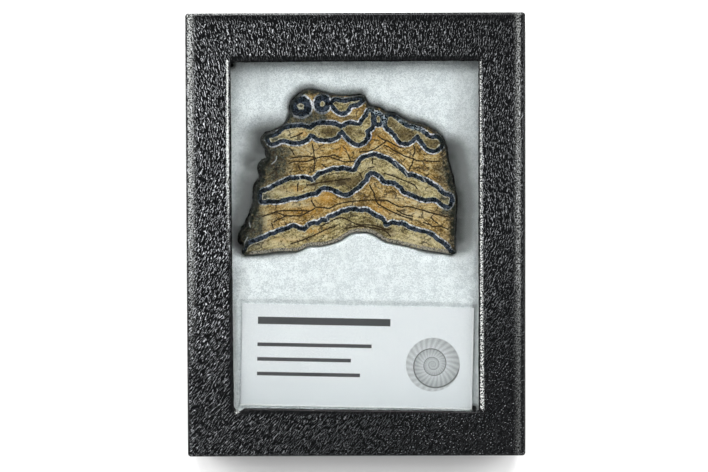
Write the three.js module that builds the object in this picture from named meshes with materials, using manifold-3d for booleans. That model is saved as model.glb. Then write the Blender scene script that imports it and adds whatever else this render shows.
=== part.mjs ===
// A slice of fossil mammoth molar, laid on white batting in a small black card box whose
// lid has a glass window. Millimetres, +Z up out of the window, +Y along the long side,
// origin at the middle of the tray's underside.

import * as THREE from 'three';
import { mergeVertices } from 'three/addons/utils/BufferGeometryUtils.js';
import Module from 'manifold-3d';

// Driving dimensions of the box
const CASE_WIDTH = 82.5;
const CASE_LENGTH = 108;
const CASE_HEIGHT = 19;
const BOARD_THICKNESS = 1.5;
const FIT_GAP = 0.3;
const SKIRT_LIFT = 0.6;
const CORNER_RADIUS = 1.2;
const EDGE_RADIUS = 1.1;

// Window in the lid and its pane
const WINDOW_WIDTH = 60.3;
const WINDOW_LENGTH = 85.1;
const WINDOW_CORNER_RADIUS = 0.5;
const LIP_RADIUS = 0.5;
const GLASS_THICKNESS = 2;
const GLASS_SIDE_GAP = 0.35;

// Slice: its widest measure, its thickness, and how its natural walls lean out
const SLICE_WIDTH = 54.1;
const SLICE_THICKNESS = 4.8;
const SLICE_SHIFT_Y = -0.15;
const SLICE_OUTLINE_POINTS = 144;
const SAWN_EDGE_BEVEL = 0.15;
const LEAN_AT_FOOT = 0.15;
const LEAN_AT_LEFT = 0.8;
const LEAN_AT_RIGHT = 0.5;
const LEAN_AT_CROWN = 0.25;

// Label card
const LABEL_WIDTH = 56.8;
const LABEL_HEIGHT = 25;
const LABEL_THICKNESS = 0.3;
const LABEL_CENTRE = [0.2, -29.9];
const LABEL_TURN = THREE.MathUtils.degToRad(-1.3);

// Batting pad
const PAD_COLUMNS = 34;
const PAD_ROWS = 46;
const POCKET_GAP = 0.45;

// Heights that follow from the dimensions above
const lidUnderside = CASE_HEIGHT - BOARD_THICKNESS;
const glassTop = lidUnderside - FIT_GAP;
const glassBottom = glassTop - GLASS_THICKNESS;
const sliceTop = glassBottom - FIT_GAP;
const sliceBottom = sliceTop - SLICE_THICKNESS;
const labelBottom = sliceTop - LABEL_THICKNESS;
const trayRim = sliceTop;
const padBottom = BOARD_THICKNESS + FIT_GAP;
const padTop = sliceTop - 0.15;

// Plan sizes that follow from the dimensions above
const lidInnerWidth = CASE_WIDTH - 2 * BOARD_THICKNESS;
const lidInnerLength = CASE_LENGTH - 2 * BOARD_THICKNESS;
const trayWidth = lidInnerWidth - 2 * FIT_GAP;
const trayLength = lidInnerLength - 2 * FIT_GAP;
const padWidth = trayWidth - 2 * (BOARD_THICKNESS + FIT_GAP);
const padLength = trayLength - 2 * (BOARD_THICKNESS + FIT_GAP);

// Hand-read outline of the slice seen from above, clockwise from the top of the crown.
const SLICE_OUTLINE = [
  [-11, 35.7], [-9, 35.3], [-6.9, 34.7], [-4.9, 34.3], [-1.5, 34.2], [1.35, 34.4],
  [2.2, 34], [2.65, 33.2], [2.8, 32.4], [3.8, 31.5], [5.3, 31.4], [6.2, 31.2],
  [7, 30.4], [8, 30], [9, 30.2], [10.7, 29.3], [12, 28.4], [13.5, 27.9],
  [15.5, 27.4], [18.3, 26.2], [20.2, 24.9], [21.6, 23.4], [22.2, 21.6], [22.6, 19.4],
  [23.1, 17.1], [24, 13.7], [24.65, 10], [24.9, 7], [24.6, 3], [24.5, -1],
  [24.4, -3.8], [24.3, -4.8], [23.5, -4.9], [21.5, -4.5], [18, -4], [14, -3.2],
  [10, -2.25], [7, -1.6], [4.9, -0.26], [3, 0.5], [0, 0.6], [-1.3, 0.3],
  [-3.1, -0.95], [-5.4, -2], [-8.5, -2.65], [-11.75, -2.8], [-13.5, -3.8], [-16, -4],
  [-19.1, -4], [-22, -4.5], [-26, -4.8], [-27.5, -4.85], [-27.85, -4.25], [-27.7, -3.2],
  [-27.8, -2.2], [-28.8, -1.2], [-28.7, 0.2], [-28.2, 1.7], [-27.2, 2.6], [-26.7, 4.2],
  [-26, 6], [-25.3, 7.6], [-25.25, 10], [-24.9, 12.2], [-23.9, 13.7], [-23.6, 14.7],
  [-24, 16.6], [-23.4, 18], [-22.1, 18.8], [-22, 20.3], [-22.6, 22.2], [-22.3, 23.9],
  [-21.5, 24.7], [-20.4, 25.3], [-18.9, 26.1], [-17.5, 27.1], [-16.6, 28.2], [-16.15, 29.5],
  [-16.25, 31.2], [-15.7, 32.7], [-14.5, 34.1], [-12.7, 35.3],
];

const { clamp, smoothstep } = THREE.MathUtils;

function material(color, roughness, metalness = 0) {
  return new THREE.MeshStandardMaterial({ color, roughness, metalness });
}

// Fills a level loop: with a fan round its middle where it is convex, or else by triangles
// between its own points. Loops run anticlockwise seen from above.
function fillLoop(vertices, indices, start, count, convex, facesUp) {
  const add = (a, b, c) => indices.push(...(facesUp ? [a, b, c] : [a, c, b]));
  if (convex) {
    const loop = vertices.slice(start, start + count);
    const middle = loop.reduce((sum, p) => sum.add(p), new THREE.Vector3()).divideScalar(count);
    const hub = vertices.push(middle) - 1;
    loop.forEach((_, i) => add(hub, start + i, start + (i + 1) % count));
    return;
  }
  const flat = vertices.slice(start, start + count).map((p) => new THREE.Vector2(p.x, p.y));
  THREE.ShapeUtils.triangulateShape(flat, []).forEach((t) => {
    add(start + t[0], start + t[1], start + t[2]);
  });
}

// A skin drawn over loops with equal numbers of points. Going outward face first, each loop
// lies above the last or nearer the middle. A ring closes on its first loop.
function skinLoops(loops, { ring = false, convex = true } = {}) {
  const count = loops[0].length;
  const vertices = loops.flat();
  const indices = [];
  const lastBand = ring ? loops.length : loops.length - 1;
  for (let band = 0; band < lastBand; band += 1) {
    const low = band * count;
    const high = ((band + 1) % loops.length) * count;
    for (let i = 0; i < count; i += 1) {
      const next = (i + 1) % count;
      indices.push(low + i, low + next, high + next);
      indices.push(low + i, high + next, high + i);
    }
  }
  if (!ring) {
    fillLoop(vertices, indices, 0, count, convex, false);
    fillLoop(vertices, indices, (loops.length - 1) * count, count, convex, true);
  }
  return toGeometry(vertices, indices);
}

function toGeometry(vertices, indices) {
  const geometry = new THREE.BufferGeometry();
  geometry.setAttribute('position', new THREE.Float32BufferAttribute(
    vertices.flatMap((p) => [p.x, p.y, p.z]), 3));
  geometry.setIndex(indices);
  geometry.computeVertexNormals();
  return geometry;
}

// A rectangle with round corners, level at height z, anticlockwise from above.
function roundedLoop(width, length, radius, z, arcSteps = 4) {
  const points = [];
  for (let corner = 0; corner < 4; corner += 1) {
    const signX = corner === 0 || corner === 3 ? 1 : -1;
    const signY = corner < 2 ? 1 : -1;
    for (let step = 0; step <= arcSteps; step += 1) {
      const angle = (corner + step / arcSteps) * Math.PI / 2;
      points.push(new THREE.Vector3(
        signX * (width / 2 - radius) + radius * Math.cos(angle),
        signY * (length / 2 - radius) + radius * Math.sin(angle),
        z));
    }
  }
  return points;
}

// The lower half: outer wall up to the rim, over it, and down inside to the floor.
function trayGeometry() {
  const outerRadius = CORNER_RADIUS - 0.3;
  const innerWidth = trayWidth - 2 * BOARD_THICKNESS;
  const innerLength = trayLength - 2 * BOARD_THICKNESS;
  const footBevel = 0.3;
  return skinLoops([
    roundedLoop(trayWidth - 2 * footBevel, trayLength - 2 * footBevel, outerRadius, 0),
    roundedLoop(trayWidth, trayLength, outerRadius, footBevel),
    roundedLoop(trayWidth, trayLength, outerRadius, trayRim),
    roundedLoop(innerWidth, innerLength, 0.3, trayRim),
    roundedLoop(innerWidth, innerLength, 0.3, BOARD_THICKNESS),
  ]);
}

// The lid: one board profile carried round the box. The outer wall's loops are set in from
// the outer edge and the window's loops are set back from the opening, whose lip rolls over.
function lidGeometry() {
  const outer = (inset, z) => roundedLoop(
    CASE_WIDTH - 2 * inset, CASE_LENGTH - 2 * inset, Math.max(CORNER_RADIUS - inset, 0.3), z);
  const window = (back, z) => roundedLoop(
    WINDOW_WIDTH + 2 * back, WINDOW_LENGTH + 2 * back, WINDOW_CORNER_RADIUS + back, z);
  const loops = [outer(0.2, SKIRT_LIFT), outer(0, SKIRT_LIFT + 0.2)];
  const arcSteps = 4;
  for (let i = 0; i <= arcSteps; i += 1) {
    const turn = (i / arcSteps) * Math.PI / 2;
    loops.push(outer(
      EDGE_RADIUS * (1 - Math.cos(turn)), CASE_HEIGHT - EDGE_RADIUS * (1 - Math.sin(turn))));
  }
  for (let i = 0; i <= arcSteps; i += 1) {
    const turn = (i / arcSteps) * Math.PI / 2;
    loops.push(window(
      LIP_RADIUS * (1 - Math.sin(turn)), CASE_HEIGHT - LIP_RADIUS * (1 - Math.cos(turn))));
  }
  loops.push(window(0, lidUnderside));
  loops.push(outer(BOARD_THICKNESS, lidUnderside));
  loops.push(outer(BOARD_THICKNESS, SKIRT_LIFT));
  return skinLoops(loops, { ring: true });
}

// The slice's silhouette as evenly spaced points on a smooth closed curve, anticlockwise.
function sliceSilhouette() {
  const xs = SLICE_OUTLINE.map(([x]) => x);
  const scale = SLICE_WIDTH / (Math.max(...xs) - Math.min(...xs));
  const points = SLICE_OUTLINE.map(([x, y]) => new THREE.Vector3(
    x * scale, y * scale + SLICE_SHIFT_Y, 0)).reverse();
  const curve = new THREE.CatmullRomCurve3(points, true, 'centripetal');
  return curve.getSpacedPoints(SLICE_OUTLINE_POINTS).slice(0, SLICE_OUTLINE_POINTS);
}

// How far the natural wall leans out past the sawn face, largest at the tooth's sides.
function wallLean(point) {
  const aboveFoot = smoothstep(point.y, -4.6, -2);
  const belowCrown = 1 - smoothstep(point.y, 21, 24);
  const left = smoothstep(-point.x, 17, 24) * aboveFoot * belowCrown * LEAN_AT_LEFT;
  const right = smoothstep(point.x, 19, 23) * aboveFoot * LEAN_AT_RIGHT;
  const crown = smoothstep(point.y, 22, 30) * LEAN_AT_CROWN;
  return LEAN_AT_FOOT + Math.max(left, right, crown);
}

// Moves each point of a closed anticlockwise loop outwards along its own normal.
function offsetLoop(loop, distanceAt, z) {
  return loop.map((point, i) => {
    const before = loop[(i + loop.length - 2) % loop.length];
    const after = loop[(i + 2) % loop.length];
    const along = after.clone().sub(before).normalize();
    const distance = distanceAt(point, i);
    return new THREE.Vector3(
      point.x + along.y * distance, point.y - along.x * distance, z);
  });
}

// Sawn flat above and below, with lumpy natural walls that bulge between the two faces.
function sliceGeometry(silhouette) {
  const lump = (point, level) => 0.14 * Math.sin(point.x * 1.9 + level * 2.3)
    * Math.cos(point.y * 1.6 - level * 1.7) * smoothstep(wallLean(point), 0.15, 0.5);
  const levels = [0, 0.04, 0.24, 0.5, 0.76, 0.96, 1];
  const loops = levels.map((level) => offsetLoop(silhouette, (point) => {
    const bulge = Math.sin(Math.PI * clamp(level * 1.1, 0, 1)) ** 0.6;
    const bevel = level === 0 || level === 1 ? SAWN_EDGE_BEVEL : 0;
    const lean = wallLean(point) * (bulge - 1) + lump(point, level) * bulge;
    return Math.min(lean, 0) - bevel;
  }, sliceBottom + level * SLICE_THICKNESS));
  return skinLoops(loops, { convex: false });
}

// Distance from a point to the silhouette, in plan, less than zero inside it.
function distanceToSilhouette(silhouette, x, y) {
  let nearest = Infinity;
  let inside = false;
  silhouette.forEach((a, i) => {
    const b = silhouette[(i + 1) % silhouette.length];
    const along = clamp(((x - a.x) * (b.x - a.x) + (y - a.y) * (b.y - a.y))
      / ((b.x - a.x) ** 2 + (b.y - a.y) ** 2), 0, 1);
    nearest = Math.min(nearest, Math.hypot(
      x - a.x - along * (b.x - a.x), y - a.y - along * (b.y - a.y)));
    const crosses = (a.y > y) !== (b.y > y)
      && x < a.x + (b.x - a.x) * (y - a.y) / (b.y - a.y);
    inside = crosses ? !inside : inside;
  });
  return inside ? -nearest : nearest;
}

// Height of the batting: puffed up to the glass, pressed down beside the tooth's flanks,
// rounded off along the tray walls.
function battingHeight(silhouette, x, y) {
  const distance = Math.max(distanceToSilhouette(silhouette, x, y), 0);
  const beside = smoothstep(y, -9, 1) * (1 - smoothstep(y, 22, 32));
  const leftDip = 3.2 * beside * smoothstep(-x, 12, 22) * (1 - smoothstep(distance, 0, 7));
  const rightDip = 2.6 * beside * smoothstep(x, 12, 22) * (1 - smoothstep(distance, 0, 5));
  const crownDip = 0.8 * smoothstep(y, 5, 20) * (1 - smoothstep(distance, 0, 3.5));
  const wallGap = Math.min(padWidth / 2 - Math.abs(x), padLength / 2 - Math.abs(y));
  const shoulder = 1.4 * (1 - smoothstep(wallGap, 0, 4)) ** 2;
  const puff = 0.12 * (Math.sin(x * 0.31 + 1) * Math.cos(y * 0.27) - 1);
  return padTop - Math.max(leftDip, rightDip, crownDip) - shoulder + puff;
}

// The pad as a closed height field on a flat base, before its pockets are pressed in.
function padBlock(silhouette) {
  const vertices = [];
  const indices = [];
  const stride = PAD_COLUMNS + 1;
  for (let row = 0; row <= PAD_ROWS; row += 1) {
    for (let column = 0; column <= PAD_COLUMNS; column += 1) {
      const x = (column / PAD_COLUMNS - 0.5) * padWidth;
      const y = (row / PAD_ROWS - 0.5) * padLength;
      vertices.push(new THREE.Vector3(x, y, battingHeight(silhouette, x, y)));
    }
  }
  for (let row = 0; row < PAD_ROWS; row += 1) {
    for (let column = 0; column < PAD_COLUMNS; column += 1) {
      const corner = row * stride + column;
      indices.push(corner, corner + 1, corner + stride + 1);
      indices.push(corner, corner + stride + 1, corner + stride);
    }
  }
  const rim = [];
  for (let column = 0; column < PAD_COLUMNS; column += 1) rim.push(column);
  for (let row = 0; row < PAD_ROWS; row += 1) rim.push(row * stride + PAD_COLUMNS);
  for (let column = PAD_COLUMNS; column > 0; column -= 1) rim.push(PAD_ROWS * stride + column);
  for (let row = PAD_ROWS; row > 0; row -= 1) rim.push(row * stride);
  const base = vertices.length;
  rim.forEach((top) => vertices.push(vertices[top].clone().setZ(padBottom)));
  rim.forEach((top, i) => {
    const next = (i + 1) % rim.length;
    indices.push(base + i, base + next, rim[next]);
    indices.push(base + i, rim[next], top);
  });
  fillLoop(vertices, indices, base, rim.length, true, false);
  return toGeometry(vertices, indices);
}

const wasm = await Module();
wasm.setup();

function toManifold(geometry) {
  const bare = geometry.clone();
  bare.deleteAttribute('normal');
  const merged = mergeVertices(bare, 1e-4);
  return new wasm.Manifold(new wasm.Mesh({
    numProp: 3,
    vertProperties: new Float32Array(merged.attributes.position.array),
    triVerts: new Uint32Array(merged.index.array),
  }));
}

function fromManifold(solid) {
  const { vertProperties, triVerts } = solid.getMesh();
  const geometry = new THREE.BufferGeometry();
  geometry.setAttribute('position', new THREE.BufferAttribute(vertProperties, 3));
  geometry.setIndex(new THREE.BufferAttribute(triVerts, 1));
  geometry.computeVertexNormals();
  return geometry;
}

// The batting with the bed of the slice and the seat of the label pressed into it.
function padGeometry(silhouette) {
  const openTop = CASE_HEIGHT;
  const bed = skinLoops([
    offsetLoop(silhouette, () => POCKET_GAP, sliceBottom - FIT_GAP),
    offsetLoop(silhouette, () => POCKET_GAP, openTop),
  ], { convex: false });
  const seatDepth = openTop - labelBottom + FIT_GAP;
  const seat = new THREE.BoxGeometry(
    LABEL_WIDTH + 2 * POCKET_GAP, LABEL_HEIGHT + 2 * POCKET_GAP, seatDepth);
  seat.deleteAttribute('uv');
  seat.rotateZ(LABEL_TURN);
  seat.translate(LABEL_CENTRE[0], LABEL_CENTRE[1], openTop - seatDepth / 2);
  return fromManifold(
    toManifold(padBlock(silhouette)).subtract(toManifold(bed)).subtract(toManifold(seat)));
}

function named(name, geometry, meshMaterial) {
  const mesh = new THREE.Mesh(geometry, meshMaterial);
  mesh.name = name;
  return mesh;
}

const silhouette = sliceSilhouette();

const tray = named('base_tray', trayGeometry(), material(0x17181a, 0.6));
const pad = named('batting_pad', padGeometry(silhouette), material(0xe4e9ea, 0.95));
const slice = named('molar_slice', sliceGeometry(silhouette), material(0x8f6a3c, 0.3));

const label = named('label_card',
  new THREE.BoxGeometry(LABEL_WIDTH, LABEL_HEIGHT, LABEL_THICKNESS), material(0xd4dadb, 0.7));
label.position.set(LABEL_CENTRE[0], LABEL_CENTRE[1], labelBottom + LABEL_THICKNESS / 2);
label.rotation.z = LABEL_TURN;

const glass = named('window_glass', new THREE.BoxGeometry(
  lidInnerWidth - 2 * GLASS_SIDE_GAP, lidInnerLength - 2 * GLASS_SIDE_GAP, GLASS_THICKNESS),
material(0xdfe9e6, 0.05));
glass.position.z = glassBottom + GLASS_THICKNESS / 2;

const lid = named('lid_frame', lidGeometry(), material(0x17181a, 0.6));

const lower = new THREE.Group();
lower.add(tray, pad, slice, label);
const upper = new THREE.Group();
upper.add(lid, glass);

const displayBox = new THREE.Group();
displayBox.add(lower, upper);

export default displayBox;
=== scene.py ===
# A slice of fossil mammoth molar in a small black display box, put together from the table up:
# tray, batting, tooth slice, label, glass and lid. Metres, +Z up through the window.
import math

import bpy
import numpy as np
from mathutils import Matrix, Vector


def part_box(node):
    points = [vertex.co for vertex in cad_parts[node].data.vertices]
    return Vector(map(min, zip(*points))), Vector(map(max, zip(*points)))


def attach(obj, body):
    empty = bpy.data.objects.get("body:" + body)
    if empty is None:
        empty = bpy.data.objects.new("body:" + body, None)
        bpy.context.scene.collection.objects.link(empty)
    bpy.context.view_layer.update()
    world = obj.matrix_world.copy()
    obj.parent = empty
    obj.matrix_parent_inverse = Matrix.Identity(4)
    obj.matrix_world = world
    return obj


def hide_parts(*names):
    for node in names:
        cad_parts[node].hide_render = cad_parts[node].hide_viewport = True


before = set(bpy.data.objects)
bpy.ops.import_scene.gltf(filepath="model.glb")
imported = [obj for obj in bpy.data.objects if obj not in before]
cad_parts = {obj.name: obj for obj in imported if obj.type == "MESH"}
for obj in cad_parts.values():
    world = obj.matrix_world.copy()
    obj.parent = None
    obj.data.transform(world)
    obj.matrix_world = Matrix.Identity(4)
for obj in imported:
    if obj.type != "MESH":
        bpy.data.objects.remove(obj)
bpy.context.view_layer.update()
scene = bpy.context.scene
scene.view_settings.view_transform = "Standard"


# The table and the light.
# The box lies on a white table under a camera that looks almost straight down from half a metre.
# Three broad lamps, left, right and far, stand in a soft sky that is dark round the camera.

camera_data = bpy.data.cameras.new("camera")
camera_data.sensor_width = 36
camera_data.lens = 104.6
camera = bpy.data.objects.new("camera", camera_data)
camera.location = (-0.0004, 0.01905, 0.5186)
camera.rotation_euler = (math.radians(-2.2), 0, math.radians(-0.2))
scene.collection.objects.link(camera)
scene.camera = camera


def pick(sockets, name):
    """A socket by its number, or the one in use that has this name."""
    return sockets[name] if isinstance(name, int) else next(
        s for s in sockets if s.name == name and s.enabled)


def sums(operation):
    """The two operators of one Math node, for a value after the wire and for one before it."""
    return (lambda self, other: self.maths(operation, self, other),
            lambda self, other: self.maths(operation, other, self))


class Wire:
    """One socket of a shader. Sums on it add Math nodes, so a pattern is written as an expression."""

    def __init__(self, tree, socket=None):
        self.tree = tree
        self.socket = socket

    def node(self, kind, settings, inputs, output=0):
        """Adds a node: first its settings, then the value or the link of each socket."""
        made = self.tree.nodes.new(kind)
        for name, value in settings.items():
            if name == "stops":
                for _ in value[2:]:
                    made.color_ramp.elements.new(0.5)
                for element, (place, colour) in zip(made.color_ramp.elements, value):
                    element.position = place
                    element.color = (*colour, 1)
            else:
                setattr(made, name, value)
        for name, value in inputs.items():
            socket = pick(made.inputs, name)
            if isinstance(value, Wire):
                self.tree.links.new(value.socket, socket)
            else:
                socket.default_value = value
        return Wire(self.tree, pick(made.outputs, output))

    def maths(self, operation, *values):
        """One Math node of the given operation on up to three values."""
        return self.node("ShaderNodeMath", {"operation": operation}, dict(enumerate(values)))

    __add__, __radd__ = sums("ADD")
    __sub__, __rsub__ = sums("SUBTRACT")
    __mul__, __rmul__ = sums("MULTIPLY")
    __truediv__, __rtruediv__ = sums("DIVIDE")
    __pow__, __rpow__ = sums("POWER")

    def size(self):
        """The value without its sign."""
        return self.maths("ABSOLUTE", self)

    def most(self, other):
        """The larger of two values."""
        return self.maths("MAXIMUM", self, other)

    def least(self, other):
        """The smaller of two values."""
        return self.maths("MINIMUM", self, other)

    def rise(self, low, high):
        """0 below low, 1 above high, and 3t² - 2t³ between them. Falls where low is above high."""
        start, end = (1, 0) if low > high else (0, 1)
        return self.node("ShaderNodeMapRange", {"interpolation_type": "SMOOTHSTEP"}, {
            "Value": self, "From Min": min(low, high), "From Max": max(low, high),
            "To Min": start, "To Max": end})

    def vector(self, operation, other, output=0):
        """One Vector Math node of the given operation."""
        return self.node("ShaderNodeVectorMath", {"operation": operation}, {0: self, 1: other}, output)

    def dot(self, other):
        """The dot product of two vectors."""
        return self.vector("DOT_PRODUCT", other, "Value")

    def part(self, axis):
        """The X, Y or Z part of a vector."""
        return self.node("ShaderNodeSeparateXYZ", {}, {"Vector": self}, axis)

    def kept(self, name, kind="Fac"):
        """What the piece keeps under this name for each of its points."""
        return self.node("ShaderNodeAttribute", {"attribute_name": name}, {}, kind)

    def blend(self, low, high):
        """A colour that goes from low to high as this mask goes from 0 to 1."""
        return self.node(
            "ShaderNodeMix", {"data_type": "RGBA"}, {"Factor": self, "A": low, "B": high}, "Result")

    def noise(self, scale, detail=2.0, roughness=0.5, distortion=0.0):
        """Blender's noise at this place, from 0 to 1 and mostly near 0.5."""
        return self.node("ShaderNodeTexNoise", {}, {
            "Vector": self, "Scale": scale, "Detail": detail, "Roughness": roughness,
            "Distortion": distortion})


def tint(red, green, blue, light=1.0):
    """The paint that shows as this 8-bit screen colour under the given share of full light."""
    screen = [c / 255 for c in (red, green, blue)]
    linear = [c / 12.92 if c < 0.04045 else ((c + 0.055) / 1.055) ** 2.4 for c in screen]
    return (*[min(c / light, 0.95) for c in linear], 1)


def new_material(name):
    """An empty node material. Returns it with its shader node and a wire to build from."""
    material = bpy.data.materials.new(name)
    material.use_nodes = True
    shader = material.node_tree.nodes["Principled BSDF"]
    return material, shader, Wire(material.node_tree)


def join(shader, name, wire):
    """Links a wire to one of the shader's sockets."""
    wire.tree.links.new(wire.socket, shader.inputs[name])


def settle(shader, values):
    """Sets the sockets that have one value all over the surface."""
    for name, value in values.items():
        shader.inputs[name].default_value = value


def emboss(shader, height, strength, depth):
    """Raises the finish where the height is high, at most by the depth in metres."""
    join(shader, "Normal", height.node("ShaderNodeBump", {}, {
        "Height": height, "Strength": strength, "Distance": depth}))


def dress(node, material):
    """Gives a CAD node this material alone."""
    node.data.materials.clear()
    node.data.materials.append(material)


# Directions as seen from the box.
LEFT_LAMP = (-0.60, 0.34, 0.724)
RIGHT_LAMP = (0.60, 0.30, 0.742)
FAR_LAMP = (0.05, 0.68, 0.731)
ROUND_CAMERA = (0, 0.02, 0.9998)
BRIGHT_SIDE = (-0.2, 0.95, 0.2)
OVERHEAD = (0, 0, 1)

sky = bpy.data.worlds.new("soft_light")
sky.use_nodes = True
scene.world = sky
toward = Wire(sky.node_tree).node("ShaderNodeTexCoord", {}, {}, "Generated")
left_glow, right_glow, far_glow = (
    toward.dot(lamp).rise(0.95, 0.985) for lamp in (LEFT_LAMP, RIGHT_LAMP, FAR_LAMP))
dark_round_camera = toward.dot(ROUND_CAMERA).rise(0.80, 0.90)
open_sky = toward.dot(BRIGHT_SIDE).rise(-0.6, 0.7) * 2.5 + 0.48
open_sky = open_sky * (toward.dot(OVERHEAD).rise(0.1, 0.8) * 0.8 + 0.2)
glow = (left_glow * 7.5 + right_glow * 5.0 + far_glow * 12.0 + open_sky) * (1 - dark_round_camera)
background = sky.node_tree.nodes["Background"]
settle(background, {"Color": (1, 1, 1, 1)})
join(background, "Strength", glow)

TABLE_CORNERS = [(-3, -3, 0), (3, -3, 0), (3, 3, 0), (-3, 3, 0)]
table_mesh = bpy.data.meshes.new("table")
table_mesh.from_pydata(TABLE_CORNERS, [], [(0, 1, 2, 3)])
table = bpy.data.objects.new("table", table_mesh)
scene.collection.objects.link(table)
white_table, shader, wire = new_material("white_table")
settle(shader, {"Base Color": (0.93, 0.93, 0.93, 1), "Roughness": 0.9, "Specular IOR Level": 0.1})
table_mesh.materials.append(white_table)


# The tray.
# The lower half of the box is shallow card, folded up at the sides and covered with black paper
# that has a pressed leather grain. The lid slides down over it, so only its foot shows.

# The distance from crest to crest in mm, and the strength of the painted highlight on the tray's ridges.
WAVE_APART, TRAY_SHINE = 0.62, 0.5


def grained_paper(name, lie):
    """Black paper with a pressed grain. The given function says how the paper lies: its grain
    coordinates in mm, the strength of the painted highlight on its ridges and of its painted glint
    specks, and where its edges are painted pale, mostly as a painted highlight and at a nick as bare
    board.

    The ridges are the crests of two sine waves that run along the second coordinate and cross at
    a narrow angle. Two noises push the phase to and fro, so the ridges wander and meet, and a
    third breaks them into short runs. More noises pick the ridges that carry the painted highlight,
    scatter the painted glint specks and pebble the pale edges.
    """
    material, shader, wire = new_material(name)
    place, strength, specks, bare = lie(wire)
    across, along, depth = (place.part(axis) for axis in "XYZ")
    ridges = None
    for lean, shift in ((0.22, 0), (-0.2, 31)):
        seen = place.vector("ADD", (shift, shift, 0))
        bend = (seen.vector("MULTIPLY", (0.5, 0.24, 0.5)).noise(1.0, 1.0) - 0.5) * 17
        kink = (seen.vector("MULTIPLY", (1.7, 1.1, 1.7)).noise(1.0, 1.0) - 0.5) * 8
        phase = (across + depth + along * lean) * (2 * math.pi / WAVE_APART) + bend + kink
        broken = seen.vector("MULTIPLY", (1.6, 0.8, 1.6)).noise(1.0, 1.5)
        crest = phase.maths("SINE", phase).rise(0.74, 1.0) * broken.rise(0.46, 0.55)
        ridges = crest if ridges is None else ridges.most(crest)
    # The pale ridges and specks are painted highlights: the sheen of the grain painted into its colour.
    shine = ridges * place.noise(2.2, 1.0).rise(0.33, 0.6) * strength
    shine = shine.most(place.noise(3.2, 1.0).rise(0.66, 0.74) * specks)
    colour = shine.blend((0.003, 0.0033, 0.0036, 1), (0.6, 0.62, 0.65, 1))
    # The pale edges are mostly a painted highlight where rounded paper catches the light, and bare board
    # at a nick.
    lip = (place.noise(2.8, 1.0).rise(0.45, 0.57) * bare).most(bare - 1)
    join(shader, "Base Color", lip.blend(colour, (0.66, 0.68, 0.66, 1)))
    settle(shader, {"Roughness": 0.26, "Specular IOR Level": 0.15})
    emboss(shader, ridges * (strength + 0.2), 1.0, 0.0001)
    return material


def box_place(wire):
    """Object coordinates in mm."""
    return wire.node("ShaderNodeTexCoord", {}, {}, "Object").vector("MULTIPLY", (1000, 1000, 1000))


def tray_grain(wire):
    """On the tray the grain lies as the box does, with an even painted highlight on its ridges and no
    painted specks or pale edges.
    """
    return box_place(wire), TRAY_SHINE, 0, 0


dress(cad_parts["base_tray"], grained_paper("black_grained_paper", tray_grain))


# The batting.
# A pad of white polyester wadding fills the tray and presses the slice and the label against
# the glass. It is sunk round the thick slice, deepest at the slice's left and right ends.

def lattice_noise(x, y, cell, seed):
    """Smooth noise from -1 to 1: seeded heights at the corners of square cells, blended across
    each cell by 3t² - 2t³ both ways."""
    table = np.random.default_rng(seed).uniform(-1, 1, (256, 256))
    i, j = np.floor(x / cell).astype(int), np.floor(y / cell).astype(int)
    s, t = x / cell - i, y / cell - j
    s, t = s * s * (3 - 2 * s), t * t * (3 - 2 * t)
    low = table[i % 256, j % 256] * (1 - s) + table[(i + 1) % 256, j % 256] * s
    high = table[i % 256, (j + 1) % 256] * (1 - s) + table[(i + 1) % 256, (j + 1) % 256] * s
    return low * (1 - t) + high * t


def rise(value, low, high):
    """0 below low, 1 above high, and 3t² - 2t³ between them. Falls where low is above high."""
    t = np.clip((value - low) / (high - low), 0, 1)
    return t * t * (3 - 2 * t)


def smooth_path(points, step, closed=False):
    """A Catmull-Rom curve through the points, cut into pieces of about the given length."""
    points = np.array(points, float)
    if closed:
        around = np.vstack([points[-1], points, points[:2]])
    else:
        around = np.vstack([2 * points[0] - points[1], points, 2 * points[-1] - points[-2]])
    pieces = []
    for before, a, b, after in zip(around, around[1:], around[2:], around[3:]):
        count = max(1, round(float(np.hypot(*(b - a))) / step))
        t = (np.arange(count) / count)[:, None]
        pieces.append(0.5 * (
            2 * a + (b - before) * t + (2 * before - 5 * a + 4 * b - after) * t ** 2
            + (3 * a - 3 * b + after - before) * t ** 3))
    return np.vstack(pieces if closed else [*pieces, points[-1:]])


def distance_to(x, y, path):
    """The distance of each point to a line of straight pieces."""
    nearest = np.full(x.shape, 1e9)
    for (ax, ay), (bx, by) in zip(path[:-1], path[1:]):
        dx, dy = bx - ax, by - ay
        along = np.clip(((x - ax) * dx + (y - ay) * dy) / (dx * dx + dy * dy + 1e-12), 0, 1)
        nearest = np.minimum(nearest, (x - ax - along * dx) ** 2 + (y - ay - along * dy) ** 2)
    return np.sqrt(nearest)


def inside(x, y, loop):
    """True where a ray to the right crosses the closed loop an odd number of times."""
    odd = np.zeros(x.shape, bool)
    for (ax, ay), (bx, by) in zip(loop, np.roll(loop, -1, axis=0)):
        if ay != by:
            odd ^= ((ay > y) != (by > y)) & (x < ax + (bx - ax) * (y - ay) / (by - ay))
    return odd


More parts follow.
